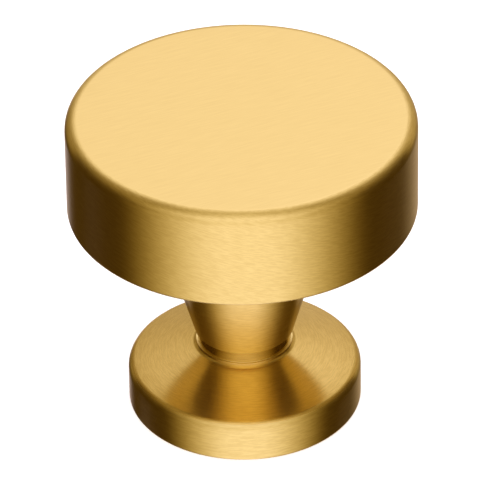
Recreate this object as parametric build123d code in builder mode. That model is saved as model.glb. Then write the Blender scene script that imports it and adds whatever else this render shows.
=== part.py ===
"""Round cabinet knob, turned from brass in one piece.

A thick flat disc, the head, sits on a stem that narrows towards a low coned base. A groove and a fine
collar separate the stem's foot from the base, and a blind hole in the back takes the screw.
"""

import os
from math import radians, tan

from build123d import *

os.makedirs("parts", exist_ok=True)

# Overall sizes in millimetres: the mounting face lies on Z = 0 and the knob's axis is Z
overall_height = 30.8
head_diameter = 32.0
base_diameter = 21.5

# Head, a flat disc with a soft top rim
head_thickness = 9.75
head_top_round = 1.15
head_lower_round = 0.4

# Stem, a cone measured at the head's underside and at its own lower edge
stem_top_diameter = 16.7
stem_foot_diameter = 9.1
stem_head_fillet = 2.8

# Base, a short upright rim under a sloping top
base_rim_height = 3.95
base_top_rise = 2.15
base_top_round = 0.9
base_lower_chamfer = 0.3

# Crisp collar on the base, and the groove between it and the stem's foot
collar_diameter = 9.1
collar_height = 0.25
groove_height = 1.25
groove_depth = 0.3

# Blind hole for an M4 machine screw, with a countersunk mouth
tap_drill_diameter = 3.3
tap_drill_depth = 14.0
drill_point_angle = 118.0
hole_mouth_diameter = 4.4
hole_mouth_angle = 90.0

# Radii of the turned profile
head_radius = head_diameter / 2
base_radius = base_diameter / 2
stem_top_radius = stem_top_diameter / 2
stem_foot_radius = stem_foot_diameter / 2
collar_radius = collar_diameter / 2
groove_radius = min(stem_foot_radius, collar_radius) - groove_depth
tap_drill_radius = tap_drill_diameter / 2

# Heights of the turned profile, from the mounting face up
base_crown_z = base_rim_height + base_top_rise
collar_top_z = base_crown_z + collar_height
stem_foot_z = collar_top_z + groove_height
head_underside_z = overall_height - head_thickness

with BuildPart() as knob:
    with BuildSketch(Plane.XZ) as half_section:
        with BuildLine():
            Polyline(
                (0, 0),
                (base_radius, 0),
                (base_radius, base_rim_height),
                (collar_radius, base_crown_z),
                (collar_radius, collar_top_z),
                (groove_radius, collar_top_z),
                (groove_radius, stem_foot_z),
                (stem_foot_radius, stem_foot_z),
                (stem_top_radius, head_underside_z),
                (head_radius, head_underside_z),
                (head_radius, overall_height),
                (0, overall_height),
                close=True,
            )
        make_face()

        # The base's lower edge is only broken
        lower_edge = half_section.vertices().sort_by_distance((base_radius, 0))[0]
        chamfer(lower_edge, length=base_lower_chamfer)

        # Each corner of the half section that is rounded, with its radius
        rounded_corners = [
            (base_radius, base_rim_height, base_top_round),
            (stem_top_radius, head_underside_z, stem_head_fillet),
            (head_radius, head_underside_z, head_lower_round),
            (head_radius, overall_height, head_top_round),
        ]
        for corner_radius, corner_z, rounding in rounded_corners:
            corner = half_section.vertices().sort_by_distance((corner_radius, corner_z))[0]
            fillet(corner, radius=rounding)
    revolve(axis=Axis.Z)

    mounting_face = knob.faces().sort_by(Axis.Z)[0]
    with Locations(mounting_face):
        CounterSinkHole(
            radius=tap_drill_radius,
            counter_sink_radius=hole_mouth_diameter / 2,
            depth=tap_drill_depth,
            counter_sink_angle=hole_mouth_angle,
        )

    # The drill leaves a conical end above the hole's straight wall
    with Locations((0, 0, tap_drill_depth)):
        Cone(
            bottom_radius=tap_drill_radius,
            top_radius=0,
            height=tap_drill_radius / tan(radians(drill_point_angle / 2)),
            align=(Align.CENTER, Align.CENTER, Align.MIN),
            mode=Mode.SUBTRACT,
        )

knob.part.label = "knob"
export_step(knob.part, "parts/knob.step")
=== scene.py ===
"""A one-piece turned brass cabinet knob: drum head, flared stem and round base with a tapped screw hole."""

import math

import bpy
from mathutils import Matrix, Vector


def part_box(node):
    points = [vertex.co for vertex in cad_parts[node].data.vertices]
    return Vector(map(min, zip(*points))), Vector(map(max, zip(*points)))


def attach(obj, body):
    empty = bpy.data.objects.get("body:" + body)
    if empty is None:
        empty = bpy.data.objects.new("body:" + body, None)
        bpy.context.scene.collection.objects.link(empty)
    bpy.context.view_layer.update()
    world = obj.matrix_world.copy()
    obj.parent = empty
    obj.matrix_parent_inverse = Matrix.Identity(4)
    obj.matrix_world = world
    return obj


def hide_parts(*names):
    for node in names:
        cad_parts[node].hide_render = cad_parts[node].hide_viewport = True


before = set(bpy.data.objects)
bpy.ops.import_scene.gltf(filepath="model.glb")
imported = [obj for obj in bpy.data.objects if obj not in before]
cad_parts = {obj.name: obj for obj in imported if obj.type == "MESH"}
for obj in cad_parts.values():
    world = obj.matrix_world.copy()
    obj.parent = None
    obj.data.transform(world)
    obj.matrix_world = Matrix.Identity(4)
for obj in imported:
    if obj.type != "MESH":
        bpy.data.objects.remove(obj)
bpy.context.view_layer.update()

bl_info = {
    "name": "Turned cabinet knob",
    "version": (1, 0, 0),
    "blender": (4, 5, 0),
    "location": "View3D > Sidebar > Knob",
    "description": "Turns a one-piece brass cabinet knob on its CAD frame and lights it on a pale floor",
    "category": "Object",
}

MM = 0.001
BODY = "root"
NODE = "knob"
LOW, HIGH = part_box(NODE)

# Edges that turn by more than this stay crisp, and large faces lead the shading of the others
CRISP_TURN = math.radians(30.0)
LARGE_FACE_WEIGHT = 100

# Gap in metres that a closing seam takes up, and the room allowed when faces are picked by height
SEAM_GAP = 1e-6
PICK_ROOM = 0.01 * MM

# Share of the thread's ridge that is left at its very ends
RIDGE_TIP = 0.02


def length(name, millimetres, description):
    """A size that the user may change, given in millimetres and kept in metres."""
    return bpy.props.FloatProperty(
        name=name, description=description, default=millimetres * MM, min=0.0, precision=5, unit="LENGTH"
    )


def share(name, value, description):
    """A number between nothing and all of something."""
    return bpy.props.FloatProperty(
        name=name, description=description, default=value, min=0.0, max=1.0, subtype="FACTOR"
    )


def number(name, value, description):
    """A plain number."""
    return bpy.props.FloatProperty(name=name, description=description, default=value, precision=4)


def angle(name, degrees, description):
    """An angle given in degrees and kept in radians."""
    return bpy.props.FloatProperty(
        name=name, description=description, default=math.radians(degrees), precision=4, unit="ROTATION"
    )


def count(name, value, description):
    """A whole number of things."""
    return bpy.props.IntProperty(name=name, description=description, default=value, min=1)


def colour(name, value, description):
    """A linear colour."""
    return bpy.props.FloatVectorProperty(
        name=name, description=description, default=value, size=3, min=0.0, max=1.0, subtype="COLOR"
    )


class KnobSizes(bpy.types.PropertyGroup):
    """Sizes of the turned section."""

    overall_height: length("Overall height", HIGH.z / MM, "From the mounting face to the top of the head")
    head_diameter: length("Head diameter", (HIGH.x - LOW.x) / MM, "Across the drum head")
    head_thickness: length("Head thickness", 9.75, "From the head's underside to its top")
    head_top_round: length("Head top rounding", 1.15, "Rounding of the head's upper edge")
    head_lower_round: length("Head lower rounding", 0.4, "Rounding of the head's lower edge")
    stem_top_diameter: length("Stem top diameter", 16.7, "Across the stem where it meets the head")
    stem_foot_diameter: length("Stem foot diameter", 9.1, "Across the stem at its foot")
    stem_foot_round: length("Stem foot rounding", 0.1, "Rounding of the stem's lower edge")
    stem_head_fillet: length("Stem fillet", 2.8, "Hollow between the stem and the head")
    base_diameter: length("Base diameter", 21.5, "Across the base")
    base_rim_height: length("Base rim height", 3.95, "Height of the base's upright rim")
    base_top_rise: length("Base rise", 2.11, "How far the base climbs from its rim to the collar")
    base_top_round: length("Base top rounding", 0.9, "Rounding of the rim's upper edge")
    base_lower_round: length("Base lower rounding", 0.3, "Rounding of the rim's lower edge")
    collar_diameter: length("Collar diameter", 8.94, "Across the collar below the stem")
    collar_flare: length("Collar flare", 0.2, "How far the collar spreads towards its foot")
    collar_lip: length("Collar lip", 0.2, "Height of the upright edge round the collar's top")
    collar_height: length("Collar height", 0.36, "Height of the collar")
    collar_round: length("Collar rounding", 0.03, "Rounding of the collar's upper edge")
    collar_fillet: length("Collar fillet", 0.6, "Hollow between the base and the collar")
    groove_height: length("Groove height", 1.18, "Height of the groove between collar and stem")
    groove_depth: length("Groove depth", 0.3, "How far the groove runs in under the stem's foot")
    groove_fillet: length("Groove fillet", 0.05, "Hollow between the groove and the collar's top")
    tap_drill_diameter: length("Tap drill diameter", 3.3, "Across the drilled hole above the thread")
    tap_drill_depth: length("Tap drill depth", 14.0, "Depth of the hole at its full width")
    drill_point_angle: angle("Drill point angle", 118.0, "Angle of the drill's point")
    hole_mouth_diameter: length("Hole mouth diameter", 4.4, "Across the countersunk mouth of the hole")
    thread_diameter: length("Thread diameter", 4.0, "Across the roots of the screw thread")
    thread_depth: length("Thread depth", 11.0, "How far the thread goes up the hole")
    run_length: length("Face length", 1.5, "Longest face along a straight run of the section")
    around: count("Faces around", 256, "Faces in one turn")
    arc_points: count("Arc points", 10, "Points on each rounded corner")


class ThreadSizes(bpy.types.PropertyGroup):
    """Sizes of the screw thread in the hole."""

    pitch: length("Pitch", 0.7, "Climb of one turn")
    root_diameter: length("Root diameter", 4.0, "Across the roots of the thread")
    crest_diameter: length("Crest diameter", 3.3, "Across the crests of the thread")
    tooth_foot: share("Tooth foot", 0.92, "Width of the ridge at its foot as a share of the pitch")
    tooth_crest: share("Tooth crest", 0.25, "Width of the ridge at its crest as a share of the pitch")
    bedding: length("Bedding", 0.06, "How far the ridge reaches into the wall of the hole")
    start_height: length("Start height", 0.35, "Height of the ridge's lower end")
    end_height: length("End height", 10.6, "Height of the ridge's upper end")
    run_out: number("Run-out", 0.5, "Turns over which each end of the ridge dies away")
    points_per_turn: count("Points per turn", 64, "Points along one turn of the ridge")


class BrassFinish(bpy.types.PropertyGroup):
    """Colour and grain of the satin brass."""

    bright: colour("Bright brass", (0.815, 0.625, 0.186), "Colour on the ridges of the grain")
    deep: colour("Deep brass", (0.725, 0.54, 0.148), "Colour in the furrows of the grain")
    # The base's sloping top takes a darker copy of the brass: painted shade under the head and stem
    shaded_base_bright: colour("Shaded base bright", (0.8, 0.588, 0.164), "Colour on the ridges of the base's sloping top")
    shaded_base_deep: colour("Shaded base deep", (0.71, 0.508, 0.13), "Colour in the furrows of the base's sloping top")
    # The groove's colour is darker than the deep tone: painted shade in the deep groove under the stem's
    # foot
    groove: colour("Shaded groove brass", (0.58, 0.42, 0.11), "Colour in the groove below the stem")
    bore: colour("Bore brass", (0.56, 0.365, 0.1), "Colour inside the screw hole")
    roughness: share("Roughness", 0.275, "Roughness of the turned faces")
    top_roughness: share("Top roughness", 0.29, "Roughness of the brushed top")
    base_roughness: share("Base roughness", 0.2, "Roughness of the base's sloping top")
    groove_roughness: share("Groove roughness", 0.12, "Roughness in the groove, out of the brush's reach")
    bore_roughness: share("Bore roughness", 0.35, "Roughness inside the screw hole")
    streak: share("Streak", 0.82, "How much longer highlights are across the grain than along it")
    turned_furrow: length("Turned furrow", 0.1, "Width of one furrow on the turned faces")
    turned_reach: length("Turned reach", 1.0, "Length of one furrow on the turned faces")
    turned_slant: angle("Turned slant", 13.0, "Lean of the turned furrows across the front of the head")
    brushed_furrow: length("Brushed furrow", 0.16, "Width of one furrow on the brushed top")
    brushed_reach: length("Brushed reach", 3.0, "Length of one furrow on the brushed top")
    brush_angle: angle("Brush angle", 23.0, "Direction of the brushing on the top")
    relief: length("Relief", 0.0003, "Depth of the furrows")


class StudioSettings(bpy.types.PropertyGroup):
    """Floor, light and camera."""

    camera_elevation: angle("Camera elevation", 34.85, "Height of the camera above the horizon")
    camera_roll: angle("Camera roll", -0.85, "Turn of the camera about its own axis")
    camera_distance: length("Camera distance", 600.0, "From the camera to the point it looks at")
    camera_lens: bpy.props.FloatProperty(
        name="Lens", description="Focal length on a 36 mm sensor", default=488.0, unit="CAMERA"
    )
    target: bpy.props.FloatVectorProperty(
        name="Target",
        description="Point in the middle of the picture",
        default=(-0.09 * MM, 0.0, 16.95 * MM),
        precision=5,
        subtype="TRANSLATION",
    )
    light_colour: bpy.props.FloatVectorProperty(
        name="Light colour",
        description="Colour and strength of the soft studio light",
        default=(1.31, 1.22, 1.68),
        subtype="COLOR",
        min=0.0,
        max=4.0,
    )
    dark_level: number("Dark level", 0.026, "Strength of the unlit parts of the studio")
    floor_colour: colour("Floor colour", (0.86, 0.86, 0.86), "Colour of the floor and backdrop")
    floor_glow: number("Floor glow", 0.45, "Light that the table gives from below")
    overhead_level: number("Overhead level", 1.6, "Strength of the light above the floor")
    floor_radius: length("Floor radius", 900.0, "Radius of the level part of the floor")
    cove_radius: length("Cove radius", 400.0, "Radius of the curve from floor to backdrop")


class KnobSettings(bpy.types.PropertyGroup):
    """All that the panel shows."""

    sizes: bpy.props.PointerProperty(type=KnobSizes, name="Sizes", description="Sizes of the turned section")
    thread: bpy.props.PointerProperty(type=ThreadSizes, name="Thread", description="Sizes of the thread")
    finish: bpy.props.PointerProperty(type=BrassFinish, name="Finish", description="Colour and grain")
    studio: bpy.props.PointerProperty(type=StudioSettings, name="Studio", description="Floor, light, camera")


class Value:
    """A node's output that takes part in Python arithmetic by adding Math nodes."""

    def __init__(self, plan, socket):
        self.plan = plan
        self.socket = socket

    def __add__(self, other):
        return self.plan.math("ADD", self, other)

    def __radd__(self, other):
        return self.plan.math("ADD", other, self)

    def __sub__(self, other):
        return self.plan.math("SUBTRACT", self, other)

    def __rsub__(self, other):
        return self.plan.math("SUBTRACT", other, self)

    def __mul__(self, other):
        return self.plan.math("MULTIPLY", self, other)

    def __rmul__(self, other):
        return self.plan.math("MULTIPLY", other, self)

    def __truediv__(self, other):
        return self.plan.math("DIVIDE", self, other)

    def __rtruediv__(self, other):
        return self.plan.math("DIVIDE", other, self)

    def __pow__(self, other):
        return self.plan.math("POWER", self, other)

    def __rpow__(self, other):
        return self.plan.math("POWER", other, self)

    def __gt__(self, other):
        return self.plan.math("GREATER_THAN", self, other)

    def __lt__(self, other):
        return self.plan.math("LESS_THAN", self, other)

    def __neg__(self):
        return self.plan.math("MULTIPLY", self, -1.0)

    def __abs__(self):
        return self.plan.math("ABSOLUTE", self)


def find_socket(sockets, key):
    """A socket by its place, its identifier or the name that the node shows."""
    if isinstance(key, int):
        return sockets[key]
    for socket in sockets:
        if socket.identifier == key:
            return socket
    for socket in sockets:
        if socket.name == key and socket.enabled:
            return socket
    raise KeyError(f"no socket {key}")


class NodePlan:
    """Adds nodes and links to one node tree."""

    def __init__(self, tree):
        self.tree = tree
        tree.nodes.clear()

    def add(self, kind, settings=None, sockets=None, give=0):
        """Make a node, its settings first and then its sockets, and return the outputs that give names."""
        node = self.tree.nodes.new(kind)
        for name, value in (settings or {}).items():
            if name == "items":
                while len(node.index_switch_items) < value:
                    node.index_switch_items.new()
            else:
                setattr(node, name, value)
        for key, value in (sockets or {}).items():
            socket = find_socket(node.inputs, key)
            if isinstance(value, Value):
                self.tree.links.new(value.socket, socket)
            else:
                socket.default_value = value
        if give is None:
            return None
        if isinstance(give, tuple):
            return [Value(self, find_socket(node.outputs, key)) for key in give]
        return Value(self, find_socket(node.outputs, give))

    def math(self, operation, *terms):
        """A Math node on values and numbers."""
        return self.add("ShaderNodeMath", {"operation": operation}, dict(enumerate(terms)))

    def vector(self, x, y, z):
        """A vector put together from values and numbers."""
        return self.add("ShaderNodeCombineXYZ", None, {"X": x, "Y": y, "Z": z})

    def parts(self, vector):
        """The three values of a vector."""
        return self.add("ShaderNodeSeparateXYZ", None, {"Vector": vector}, ("X", "Y", "Z"))

    def smooth(self, value, start, end):
        """A soft step from 0 at start to 1 at end."""
        return self.add(
            "ShaderNodeMapRange",
            {"interpolation_type": "SMOOTHSTEP"},
            {"Value": value, "From Min": start, "From Max": end},
        )

    def blend(self, factor, first, second):
        """A colour between two colours."""
        return self.add(
            "ShaderNodeMix",
            {"data_type": "RGBA"},
            {"Factor_Float": factor, "A_Color": first, "B_Color": second},
            "Result_Color",
        )


# Brass finishes

# Noise of the grain, its middle value, and how far its furrows move the roughness
GRAIN = {"Scale": 1.0, "Detail": 3.0, "Roughness": 0.6}
GRAIN_MIDDLE = 0.5
ROUGHNESS_SWING = 0.02

# How far to each side of the middle the tone goes from deep to bright: a short way gives clear strokes
CLEAR_STROKES = 0.12
DULL_STROKES = 0.25
FAINT_STROKES = 0.6

# A quarter of a turn lays long highlights across the grain
ACROSS_GRAIN = 0.25

# Shares of the knob's height between which the turned grain begins to lean
LEAN_START = 0.55
LEAN_FULL = 0.65


def opaque(rgb):
    """A colour property as the four numbers that a colour socket takes."""
    return (*rgb, 1.0)


def turned_furrows(plan, finish):
    """Grain that runs round the knob's axis, leaning a little on the head: narrow across and long around."""
    x, y, z = plan.parts(plan.add("ShaderNodeTexCoord", give="Object"))
    radius = plan.math("SQRT", x * x + y * y)
    lean = x * math.tan(finish.turned_slant) * plan.smooth(z, LEAN_START * HIGH.z, LEAN_FULL * HIGH.z)
    across = 1.0 / finish.turned_furrow
    around = 1.0 / finish.turned_reach
    point = plan.vector(radius * across, (z + lean) * across, x * around)
    return plan.add(
        "ShaderNodeTexNoise", {"noise_dimensions": "4D"}, {"Vector": point, "W": y * around, **GRAIN}
    )


def brushed_furrows(plan, finish):
    """Grain that runs straight across the head's top."""
    point = plan.add("ShaderNodeTexCoord", give="Object")
    turn = (0.0, 0.0, finish.brush_angle)
    along = plan.add(
        "ShaderNodeMapping",
        {"vector_type": "TEXTURE"},
        {"Vector": point, "Rotation": turn, "Scale": (finish.brushed_reach, finish.brushed_furrow, 1.0)},
    )
    return plan.add("ShaderNodeTexNoise", None, {"Vector": along, **GRAIN})


def brass_shader(plan, furrows, tones, roughness, streak, softness, relief):
    """Metal whose colour, roughness and surface follow the furrows, from the deep tone to the bright one."""
    deep, bright = tones
    tone = plan.smooth(furrows, GRAIN_MIDDLE - softness, GRAIN_MIDDLE + softness)
    normal = plan.add("ShaderNodeBump", None, {"Strength": 1.0, "Distance": relief, "Height": furrows})
    shader = plan.add(
        "ShaderNodeBsdfPrincipled",
        None,
        {
            "Base Color": plan.blend(tone, opaque(deep), opaque(bright)),
            "Metallic": 1.0,
            "Roughness": roughness + furrows * ROUGHNESS_SWING,
            "Anisotropic": streak,
            "Anisotropic Rotation": ACROSS_GRAIN,
            "Normal": normal,
        },
    )
    plan.add("ShaderNodeOutputMaterial", None, {"Surface": shader}, None)


def new_material(name):
    """A material with an empty node tree, and the plan that fills it."""
    material = bpy.data.materials.new(name)
    material.use_nodes = True
    return material, NodePlan(material.node_tree)


def turned_brass(finish):
    """Satin brass as the lathe leaves it, for the body."""
    material, plan = new_material("turned_brass")
    furrows = turned_furrows(plan, finish)
    tones = (finish.deep, finish.bright)
    brass_shader(plan, furrows, tones, finish.roughness, finish.streak, CLEAR_STROKES, finish.relief)
    return material


def shaded_faced_brass(finish):
    """Satin brass as the lathe leaves it on the base's sloping top, a little smoother, in darker colours
    that paint the shade under the head.
    """
    material, plan = new_material("shaded_faced_brass")
    furrows = turned_furrows(plan, finish)
    # Darker tones on the base's top paint the shade under the head
    tones = (finish.shaded_base_deep, finish.shaded_base_bright)
    brass_shader(plan, furrows, tones, finish.base_roughness, finish.streak, CLEAR_STROKES, finish.relief)
    return material


def brushed_brass(finish):
    """Satin brass brushed straight across, for the head's top."""
    material, plan = new_material("brushed_brass")
    furrows = brushed_furrows(plan, finish)
    tones = (finish.deep, finish.bright)
    brass_shader(plan, furrows, tones, finish.top_roughness, 0.0, FAINT_STROKES, finish.relief)
    return material


def shaded_groove_brass(finish):
    """Smoother brass in the groove below the stem, where the brush does not reach, its colour darkened as
    painted shade for the deep groove.
    """
    material, plan = new_material("shaded_groove_brass")
    furrows = turned_furrows(plan, finish)
    # The darker groove colour is painted shade in the recess under the stem's foot
    tones = (finish.groove, finish.deep)
    brass_shader(plan, furrows, tones, finish.groove_roughness, 0.0, DULL_STROKES, 0.0)
    return material


def bored_brass(finish):
    """Duller brass left by the drill and the tap, for the screw hole."""
    material, plan = new_material("bored_brass")
    furrows = turned_furrows(plan, finish)
    tones = (finish.bore, finish.deep)
    brass_shader(plan, furrows, tones, finish.bore_roughness, 0.0, DULL_STROKES, finish.relief)
    return material


def finish_named(name, finish):
    """One of the brass finishes, made when it is first asked for."""
    makers = {
        "turned_brass": turned_brass,
        "shaded_faced_brass": shaded_faced_brass,
        "brushed_brass": brushed_brass,
        "shaded_groove_brass": shaded_groove_brass,
        "bored_brass": bored_brass,
    }
    return bpy.data.materials.get(name) or makers[name](finish)


# Geometry node trees


def open_tree(name, group, materials):
    """A geometry tree with one named input for each size in a property group and each material."""
    tree = bpy.data.node_groups.new(name, "GeometryNodeTree")
    tree.interface.new_socket("Geometry", in_out="OUTPUT", socket_type="NodeSocketGeometry")
    values = {}
    for key, prop in group.bl_rna.properties.items():
        if key in ("rna_type", "name"):
            continue
        kind = "NodeSocketInt" if prop.type == "INT" else "NodeSocketFloat"
        socket = tree.interface.new_socket(prop.name, in_out="INPUT", socket_type=kind)
        values[socket.identifier] = (key, getattr(group, key))
    for label, material in materials.items():
        socket = tree.interface.new_socket(label, in_out="INPUT", socket_type="NodeSocketMaterial")
        values[socket.identifier] = (label, material)
    plan = NodePlan(tree)
    entry = tree.nodes.new("NodeGroupInput")
    size = {values[s.identifier][0]: Value(plan, s) for s in entry.outputs if s.identifier in values}
    return plan, size, {key: value for key, (_, value) in values.items()}


def close_tree(plan, geometry, paints):
    """Realize what is left and set the materials, each on its own faces."""
    geometry = plan.add("GeometryNodeRealizeInstances", None, {"Geometry": geometry})
    for material, where in paints:
        sockets = {"Geometry": geometry, "Material": material}
        if where is not None:
            sockets["Selection"] = where
        geometry = plan.add("GeometryNodeSetMaterial", None, sockets)
    plan.add("NodeGroupOutput", None, {"Geometry": geometry}, None)


def made_piece(name, plan, values):
    """Run a geometry tree once and keep its result as a plain mesh object at the origin."""
    piece = bpy.data.objects.new(name, bpy.data.meshes.new(name))
    bpy.context.scene.collection.objects.link(piece)
    shaper = piece.modifiers.new(plan.tree.name, "NODES")
    shaper.node_group = plan.tree
    for identifier, value in values.items():
        shaper[identifier] = value
    evener = piece.modifiers.new("even_normals", "WEIGHTED_NORMAL")
    evener.weight = LARGE_FACE_WEIGHT
    evener.keep_sharp = True
    graph = bpy.context.evaluated_depsgraph_get()
    mesh = bpy.data.meshes.new_from_object(piece.evaluated_get(graph), depsgraph=graph)
    if not mesh.polygons:
        raise RuntimeError(f"{name} came out empty")
    piece.modifiers.clear()
    piece.data = mesh
    mesh.name = name
    return piece


def smooth_with_crisp_edges(plan, mesh):
    """Shade faces smoothly, apart from edges with a crisp turn."""
    rounded = {"Geometry": mesh, "Shade Smooth": True}
    mesh = plan.add("GeometryNodeSetShadeSmooth", {"domain": "FACE"}, rounded)
    turn = plan.add("GeometryNodeInputMeshEdgeAngle", give="Unsigned Angle")
    return plan.add(
        "GeometryNodeSetShadeSmooth",
        {"domain": "EDGE"},
        {"Geometry": mesh, "Selection": turn > CRISP_TURN, "Shade Smooth": False},
    )


def section_corners(size):
    """Corners of the turned section from the drill's point round to the middle of the top.

    Each is a radius, a height and a rounding.
    """
    drill = size["tap_drill_diameter"] / 2
    thread = size["thread_diameter"] / 2
    mouth = size["hole_mouth_diameter"] / 2
    base = size["base_diameter"] / 2
    collar = size["collar_diameter"] / 2
    foot = size["stem_foot_diameter"] / 2
    stem = size["stem_top_diameter"] / 2
    head = size["head_diameter"] / 2
    depth = size["tap_drill_depth"]
    plan = drill.plan
    point = depth + drill / plan.math("TANGENT", size["drill_point_angle"] / 2)
    rim = size["base_rim_height"]
    shoulder = rim + size["base_top_rise"]
    collar_top = shoulder + size["collar_height"]
    stem_foot = collar_top + size["groove_height"]
    neck = foot - size["groove_depth"]
    top = size["overall_height"]
    under_head = top - size["head_thickness"]
    return [
        (0.0, point, 0.0),
        (drill, depth, 0.0),
        (drill, size["thread_depth"], 0.0),
        (thread, size["thread_depth"] - (thread - drill), 0.0),
        (thread, mouth - thread, 0.0),
        (mouth, 0.0, 0.0),
        (base, 0.0, size["base_lower_round"]),
        (base, rim, size["base_top_round"]),
        (collar + size["collar_flare"], shoulder, size["collar_fillet"]),
        (collar, collar_top - size["collar_lip"], 0.0),
        (collar, collar_top, size["collar_round"]),
        (neck, collar_top, size["groove_fillet"]),
        (neck, stem_foot, 0.0),
        (foot, stem_foot, size["stem_foot_round"]),
        (stem, under_head, size["stem_head_fillet"]),
        (head, under_head, size["head_lower_round"]),
        (head, top, size["head_top_round"]),
        (0.0, top, 0.0),
    ]


def section_curve(plan, size):
    """The turned section as a curve in the XZ plane, its corners rounded and its long runs divided."""
    corners = section_corners(size)
    index = plan.add("GeometryNodeInputIndex")
    points = {"Index": index}
    roundings = {"Index": index}
    for place, (radius, height, rounding) in enumerate(corners):
        points[f"Item_{place}"] = plan.vector(radius, 0.0, height)
        roundings[f"Item_{place}"] = rounding
    settings = {"items": len(corners)}
    position = plan.add("GeometryNodeIndexSwitch", {"data_type": "VECTOR", **settings}, points)
    rounding = plan.add("GeometryNodeIndexSwitch", {"data_type": "FLOAT", **settings}, roundings)
    line = plan.add("GeometryNodeMeshLine", None, {"Count": len(corners)})
    line = plan.add("GeometryNodeSetPosition", None, {"Geometry": line, "Position": position})
    curve = plan.add("GeometryNodeMeshToCurve", None, {"Mesh": line})
    curve = plan.add(
        "GeometryNodeFilletCurve",
        {"mode": "POLY"},
        {"Curve": curve, "Count": size["arc_points"], "Radius": rounding, "Limit Radius": True},
    )
    here = plan.add("GeometryNodeInputPosition")
    ahead = plan.add(
        "GeometryNodeFieldAtIndex",
        {"data_type": "FLOAT_VECTOR", "domain": "POINT"},
        {"Value": here, "Index": plan.add("GeometryNodeInputIndex") + 1},
    )
    run = plan.add("ShaderNodeVectorMath", {"operation": "DISTANCE"}, {0: here, 1: ahead}, "Value")
    cuts = plan.math("FLOOR", run / size["run_length"])
    return plan.add("GeometryNodeSubdivideCurve", None, {"Curve": curve, "Cuts": cuts})


def lathe(plan, curve, around):
    """Turn a section curve once round the Z axis, close its seam and its two ends, and face it outwards."""
    counts = {"component": "CURVE"}
    rows = plan.add("GeometryNodeAttributeDomainSize", counts, {"Geometry": curve}, "Point Count")
    columns = around + 1
    sheet = plan.add("GeometryNodeMeshGrid", None, {"Vertices X": rows, "Vertices Y": columns}, "Mesh")
    index = plan.add("GeometryNodeInputIndex")
    row = plan.math("FLOOR", (index + 0.5) / columns)
    turn = (index - row * columns) / around * math.tau
    point = plan.add(
        "GeometryNodeSampleIndex",
        {"data_type": "FLOAT_VECTOR", "domain": "POINT"},
        {"Geometry": curve, "Value": plan.add("GeometryNodeInputPosition"), "Index": row},
    )
    radius, _, height = plan.parts(point)
    place = plan.vector(radius * plan.math("COSINE", turn), radius * plan.math("SINE", turn), height)
    sheet = plan.add("GeometryNodeSetPosition", None, {"Geometry": sheet, "Position": place})
    closed = plan.add("GeometryNodeMergeByDistance", None, {"Geometry": sheet, "Distance": SEAM_GAP})
    return plan.add("GeometryNodeFlipFaces", None, {"Mesh": closed})


def thread_ridge(plan, size):
    """The ridge of a right-handed screw thread, dying away into the wall of the hole at both ends."""
    root = size["root_diameter"] / 2
    crest = size["crest_diameter"] / 2
    climb = size["end_height"] - size["start_height"]
    turns = climb / size["pitch"]
    path = plan.add(
        "GeometryNodeCurveSpiral",
        None,
        {
            "Resolution": size["points_per_turn"],
            "Rotations": turns,
            "Start Radius": root,
            "End Radius": root,
            "Height": climb,
        },
    )
    path = plan.add("GeometryNodeSetCurveNormal", {"mode": "Z_UP"}, {"Curve": path})
    reach = root + size["bedding"] - crest
    tooth = plan.add(
        "GeometryNodeCurvePrimitiveQuadrilateral",
        {"mode": "TRAPEZOID"},
        {
            "Height": reach,
            "Bottom Width": size["pitch"] * size["tooth_foot"],
            "Top Width": size["pitch"] * size["tooth_crest"],
            "Offset": 0.0,
        },
    )
    tooth = plan.add(
        "GeometryNodeTransform",
        None,
        {
            "Geometry": tooth,
            "Translation": plan.vector(size["bedding"] - reach / 2, 0.0, 0.0),
            "Rotation": (0.0, 0.0, math.pi / 2),
        },
    )
    along = plan.add("GeometryNodeSplineParameter", give="Factor") * turns
    fade = plan.smooth(along, 0.0, size["run_out"]) * plan.smooth(turns - along, 0.0, size["run_out"])
    swell = RIDGE_TIP + fade * (1.0 - RIDGE_TIP)
    ridge = plan.add(
        "GeometryNodeCurveToMesh",
        None,
        {"Curve": path, "Profile Curve": tooth, "Scale": swell, "Fill Caps": True},
    )
    lift = plan.vector(0.0, 0.0, size["start_height"])
    return plan.add("GeometryNodeTransform", None, {"Geometry": ridge, "Translation": lift})


# Studio

# Rings of the level floor as shares of its radius, steps of the curve round it, and sides of both
FLOOR_RINGS = (0.02, 0.1, 0.3, 0.6, 1.0)
COVE_STEPS = 16
SWEEP_SIDES = 96

# Width of the lamp above the floor, as seen from the knob
OVERHEAD_WIDTH = math.radians(120.0)

# Bearings from the camera's side and heights above the horizon are in degrees in what follows.
# An edge runs from where a light is nothing to where it is full, and a level is a light's strength.
DEGREE = math.pi / 180.0
RIGHT_EDGE = (-30.0, 30.0)

# Front light: it narrows as it climbs, moves to the middle and widens once it is raised, and fades high up
FRONT_LEVEL = 0.96
FRONT_BEARING = 1.5
FRONT_EDGE = (90.0, 12.0)
FRONT_TOP = (100.0, 45.0)
NARROWING = 0.22
NARROWING_HEIGHT = -35.0
RAISED_EDGE = (8.0, 28.0)
RAISED_WIDENING = 13.0
HORIZON_DIMMING = 0.14
HORIZON_EDGE = (-30.0, 0.0)
HIGH_DIMMING = 0.3
HIGH_EDGE = (30.0, 50.0)
STEEP_GAIN = 0.12
STEEP_EDGE = (-45.0, -65.0)

# Round panel high up behind the knob
PANEL_LEVEL = 0.52
PANEL_HEIGHT = 42.0
PANEL_EDGE = (34.0, 8.0)

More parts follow.
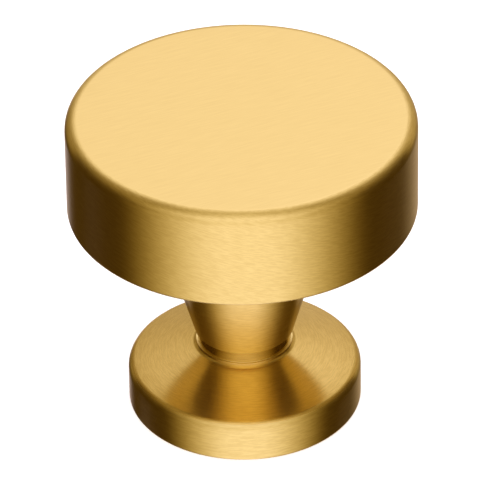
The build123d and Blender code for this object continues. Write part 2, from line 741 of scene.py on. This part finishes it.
# Lit wall behind the knob, with a lower light beside it
REAR_LEFT = {"level": 0.33, "edge": (46.0, 10.0), "widening": 0.3, "low_level": 0.15}
REAR_RIGHT = {"level": 0.42, "edge": (40.0, 8.0), "widening": 0.6, "low_level": 0.3}
REAR_FOOT = (-18.0, -4.0)
REAR_TOP = (90.0, 64.0)
LOW_EDGE = (62.0, 48.0)
LOW_TOP = (45.0, 20.0)

# Ceiling, lighter towards the zenith
CEILING_LEVEL = 0.2
CEILING_EDGE = (5.0, 60.0)
ZENITH_EDGE = (60.0, 85.0)

# Pale table behind and below the knob
TABLE_LEFT_LEVEL = 0.6
TABLE_LEFT_EDGE = (27.0, 17.0)
TABLE_RIGHT_LEVEL = 0.55
TABLE_RIGHT_EDGE = (58.0, -4.0)
TABLE_TOP = (-6.0, -20.0)
BELOW_LEVEL = 0.75
BELOW_EDGE = (54.0, 40.0)
BELOW_TOP = (-40.0, -49.0)

# Powers that make dim light redder and less blue
DIM_RED = 0.84
DIM_BLUE = 1.7

# The table's green and blue against its red, and what each loses on the right
TABLE_GREEN = 0.95
TABLE_GREEN_LOSS = 0.07
TABLE_BLUE = 0.85
TABLE_BLUE_LOSS = 0.3


def sweep_mesh(studio):
    """A round floor that curves up into a backdrop all the way round."""
    level = studio.floor_radius
    bend = studio.cove_radius
    rings = [(level * part, 0.0) for part in FLOOR_RINGS]
    for step in range(1, COVE_STEPS + 1):
        lean = math.pi / 2 * step / COVE_STEPS
        rings.append((level + bend * math.sin(lean), bend * (1.0 - math.cos(lean))))
    points = [(0.0, 0.0, 0.0)]
    for radius, height in rings:
        for side in range(SWEEP_SIDES):
            turn = math.tau * side / SWEEP_SIDES
            points.append((radius * math.cos(turn), radius * math.sin(turn), height))
    faces = [(0, 1 + side, 1 + (side + 1) % SWEEP_SIDES) for side in range(SWEEP_SIDES)]
    for ring in range(len(rings) - 1):
        inner = 1 + ring * SWEEP_SIDES
        outer = inner + SWEEP_SIDES
        for side in range(SWEEP_SIDES):
            after = (side + 1) % SWEEP_SIDES
            faces.append((inner + side, outer + side, outer + after, inner + after))
    mesh = bpy.data.meshes.new("pale_sweep")
    mesh.from_pydata(points, [], faces)
    mesh.polygons.foreach_set("use_smooth", [True] * len(mesh.polygons))
    return mesh


def pale_floor(studio):
    """Matt white that also glows a little, as a lit table does."""
    material, plan = new_material("pale_floor")
    white = opaque(studio.floor_colour)
    matt = plan.add("ShaderNodeBsdfDiffuse", None, {"Color": white})
    glow = plan.add("ShaderNodeEmission", None, {"Strength": studio.floor_glow})
    both = plan.add("ShaderNodeAddShader", None, {0: matt, 1: glow})
    plan.add("ShaderNodeOutputMaterial", None, {"Surface": both}, None)
    return material


def between(first, second, part):
    """A value that goes from the first to the second as part goes from 0 to 1."""
    return first + (second - first) * part


def front_light(plan, bearing, height):
    """The wide light round the camera."""
    raised = plan.smooth(height, *RAISED_EDGE)
    off_middle = abs(bearing - FRONT_BEARING + FRONT_BEARING * raised)
    aside = off_middle + (height - NARROWING_HEIGHT) * NARROWING - RAISED_WIDENING * raised
    front = plan.smooth(aside, *FRONT_EDGE) * plan.smooth(height, *FRONT_TOP)
    near_horizon = HORIZON_DIMMING * plan.smooth(height, *HORIZON_EDGE) - HORIZON_DIMMING * raised
    dimmer = near_horizon + HIGH_DIMMING * plan.smooth(height, *HIGH_EDGE)
    front = front * (1.0 - dimmer + STEEP_GAIN * plan.smooth(height, *STEEP_EDGE))
    return front * FRONT_LEVEL


def rear_panel(plan, behind, height):
    """The round panel behind the knob."""
    spread = behind * plan.math("COSINE", height * DEGREE)
    climb = height - PANEL_HEIGHT
    off_panel = plan.math("SQRT", spread * spread + climb * climb)
    return plan.smooth(off_panel, *PANEL_EDGE) * PANEL_LEVEL


def rear_light(plan, behind, height, on_right):
    """The lit wall behind the knob, which widens as it climbs and is stronger on the right."""
    low = plan.smooth(behind, *LOW_EDGE) * plan.smooth(height, *LOW_TOP)
    sides = []
    for side in (REAR_LEFT, REAR_RIGHT):
        tall = plan.smooth(behind - height * side["widening"], *side["edge"]) * side["level"]
        sides.append(plan.math("MAXIMUM", tall, low * side["low_level"]))
    return between(*sides, on_right) * plan.smooth(height, *REAR_FOOT) * plan.smooth(height, *REAR_TOP)


def table_light(plan, behind, height, on_right):
    """The pale table behind the knob, and what of it lies steeply below."""
    left = plan.smooth(behind, *TABLE_LEFT_EDGE) * TABLE_LEFT_LEVEL
    right = plan.smooth(behind, *TABLE_RIGHT_EDGE) * TABLE_RIGHT_LEVEL
    table = between(left, right, on_right) * plan.smooth(height, *TABLE_TOP)
    below = plan.smooth(behind, *BELOW_EDGE) * plan.smooth(height, *BELOW_TOP) * BELOW_LEVEL
    return plan.math("MAXIMUM", table, below)


def studio_light(studio):
    """Soft light from all round: front light, lit wall and panel behind, dim ceiling and pale table."""
    world = bpy.data.worlds.new("soft_studio")
    world.use_nodes = True
    plan = NodePlan(world.node_tree)
    x, y, z = plan.parts(plan.add("ShaderNodeTexCoord", give="Generated"))
    bearing = plan.math("ARCTAN2", x, -y) * (1.0 / DEGREE)
    height = plan.math("ARCSINE", z) * (1.0 / DEGREE)
    behind = 180.0 - abs(bearing)
    on_right = plan.smooth(bearing, *RIGHT_EDGE)
    front = front_light(plan, bearing, height)
    rear = rear_light(plan, behind, height, on_right)
    panel = rear_panel(plan, behind, height)
    ceiling = plan.smooth(height, *CEILING_EDGE) * CEILING_LEVEL
    zenith = plan.smooth(height, *ZENITH_EDGE) * CEILING_LEVEL
    lit = studio.dark_level + front + rear + panel + (ceiling + zenith)
    pale = table_light(plan, behind, height, on_right)
    red, green, blue = studio.light_colour
    tint = plan.add(
        "ShaderNodeCombineColor",
        None,
        {
            "Red": (lit**DIM_RED + pale) * red,
            "Green": (lit + pale * (TABLE_GREEN - TABLE_GREEN_LOSS * on_right)) * green,
            "Blue": (lit**DIM_BLUE + pale * (TABLE_BLUE - TABLE_BLUE_LOSS * on_right)) * blue,
        },
    )
    sky = plan.add("ShaderNodeBackground", None, {"Color": tint, "Strength": 1.0})
    plan.add("ShaderNodeOutputWorld", None, {"Surface": sky}, None)
    return world


def overhead_lamp(studio):
    """Even light from straight above that only matt surfaces take."""
    lamp = bpy.data.lights.new("overhead", "SUN")
    lamp.energy = studio.overhead_level
    lamp.angle = OVERHEAD_WIDTH
    light = bpy.data.objects.new("overhead", lamp)
    light.visible_glossy = False
    return light


def studio_camera(studio):
    """The camera at the viewing angle of the photograph."""
    data = bpy.data.cameras.new("studio_camera")
    data.sensor_width = 36.0
    data.lens = studio.camera_lens
    rise = studio.camera_elevation
    roll = studio.camera_roll
    forward = Vector((0.0, math.cos(rise), -math.sin(rise)))
    level = Vector((1.0, 0.0, 0.0))
    upright = level.cross(forward)
    right = level * math.cos(roll) + upright * math.sin(roll)
    up = upright * math.cos(roll) - level * math.sin(roll)
    turn = Matrix((right, up, -forward)).transposed()
    camera = bpy.data.objects.new("studio_camera", data)
    place = Vector(studio.target) - forward * studio.camera_distance
    camera.matrix_world = Matrix.Translation(place) @ turn.to_4x4()
    return camera


class CABINETKNOB_OT_turn_body(bpy.types.Operator):
    """Turn the knob's body from its section"""

    bl_idname = "cabinet_knob.turn_body"
    bl_label = "Turn Body"

    def execute(self, context):
        settings = context.scene.cabinet_knob
        finish = settings.finish
        materials = {
            "Turned": finish_named("turned_brass", finish),
            "Shaded face": finish_named("shaded_faced_brass", finish),
            "Brushed": finish_named("brushed_brass", finish),
            "Shaded groove": finish_named("shaded_groove_brass", finish),
            "Bored": finish_named("bored_brass", finish),
        }
        plan, size, values = open_tree("turned_body", settings.sizes, materials)
        mesh = lathe(plan, section_curve(plan, size), size["around"])
        mesh = smooth_with_crisp_edges(plan, mesh)
        x, y, z = plan.parts(plan.add("GeometryNodeInputPosition"))
        radius = plan.math("SQRT", x * x + y * y)
        on_top = z > size["overall_height"] - PICK_ROOM
        in_hole = (radius < size["hole_mouth_diameter"] / 2) * (1.0 - on_top)
        collar_top = size["base_rim_height"] + size["base_top_rise"] + size["collar_height"]
        # The base's sloping top gets the darker brass that paints the shade under the head
        on_base = (z > size["base_rim_height"]) * (z < collar_top)
        # Faces in the groove get the darker brass that paints the groove's shade
        above_ledge = z > collar_top + size["groove_fillet"] / 2
        in_groove = above_ledge * (z < collar_top + size["groove_height"] + PICK_ROOM)
        paints = [
            (size["Turned"], None),
            (size["Shaded face"], on_base),
            (size["Shaded groove"], in_groove),
            (size["Brushed"], on_top),
            (size["Bored"], in_hole),
        ]
        close_tree(plan, mesh, paints)
        body = made_piece("knob_body", plan, values)
        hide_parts(NODE)
        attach(body, BODY)
        return {"FINISHED"}


class CABINETKNOB_OT_cut_thread(bpy.types.Operator):
    """Cut the screw thread in the hole of the base"""

    bl_idname = "cabinet_knob.cut_thread"
    bl_label = "Cut Thread"

    def execute(self, context):
        settings = context.scene.cabinet_knob
        materials = {"Bored": finish_named("bored_brass", settings.finish)}
        plan, size, values = open_tree("screw_thread", settings.thread, materials)
        ridge = smooth_with_crisp_edges(plan, thread_ridge(plan, size))
        close_tree(plan, ridge, [(size["Bored"], None)])
        thread = made_piece("screw_thread", plan, values)
        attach(thread, BODY)
        return {"FINISHED"}


class CABINETKNOB_OT_set_stage(bpy.types.Operator):
    """Lay the floor, light the studio and place the camera"""

    bl_idname = "cabinet_knob.set_stage"
    bl_label = "Set Stage"

    def execute(self, context):
        studio = context.scene.cabinet_knob.studio
        scene = context.scene
        floor = bpy.data.objects.new("pale_sweep", sweep_mesh(studio))
        floor.data.materials.append(pale_floor(studio))
        floor.visible_glossy = False
        floor.visible_shadow = False
        lamp = overhead_lamp(studio)
        camera = studio_camera(studio)
        for thing in (floor, lamp, camera):
            scene.collection.objects.link(thing)
        scene.world = studio_light(studio)
        scene.camera = camera
        scene.view_settings.view_transform = "Standard"
        return {"FINISHED"}


class CABINETKNOB_PT_panel(bpy.types.Panel):
    """Lists the knob's steps and settings"""

    bl_label = "Cabinet knob"
    bl_idname = "CABINETKNOB_PT_panel"
    bl_space_type = "VIEW_3D"
    bl_region_type = "UI"
    bl_category = "Knob"

    def draw(self, context):
        settings = context.scene.cabinet_knob
        for step in STEPS:
            self.layout.operator(step.bl_idname)
        for group in (settings.sizes, settings.thread, settings.finish, settings.studio):
            box = self.layout.box()
            for key in group.bl_rna.properties.keys():
                if key not in ("rna_type", "name"):
                    box.prop(group, key)


STEPS = (CABINETKNOB_OT_turn_body, CABINETKNOB_OT_cut_thread, CABINETKNOB_OT_set_stage)
CLASSES = (KnobSizes, ThreadSizes, BrassFinish, StudioSettings, KnobSettings, *STEPS, CABINETKNOB_PT_panel)


def register():
    """Add the classes and the scene's settings."""
    for cls in CLASSES:
        bpy.utils.register_class(cls)
    bpy.types.Scene.cabinet_knob = bpy.props.PointerProperty(
        type=KnobSettings, name="Cabinet knob", description="Sizes, finish and studio of the knob"
    )


def unregister():
    """Remove the scene's settings and the classes."""
    del bpy.types.Scene.cabinet_knob
    for cls in reversed(CLASSES):
        bpy.utils.unregister_class(cls)


def main():
    register()
    bpy.ops.cabinet_knob.turn_body()
    bpy.ops.cabinet_knob.cut_thread()
    bpy.ops.cabinet_knob.set_stage()


if __name__ == "__main__":
    main()
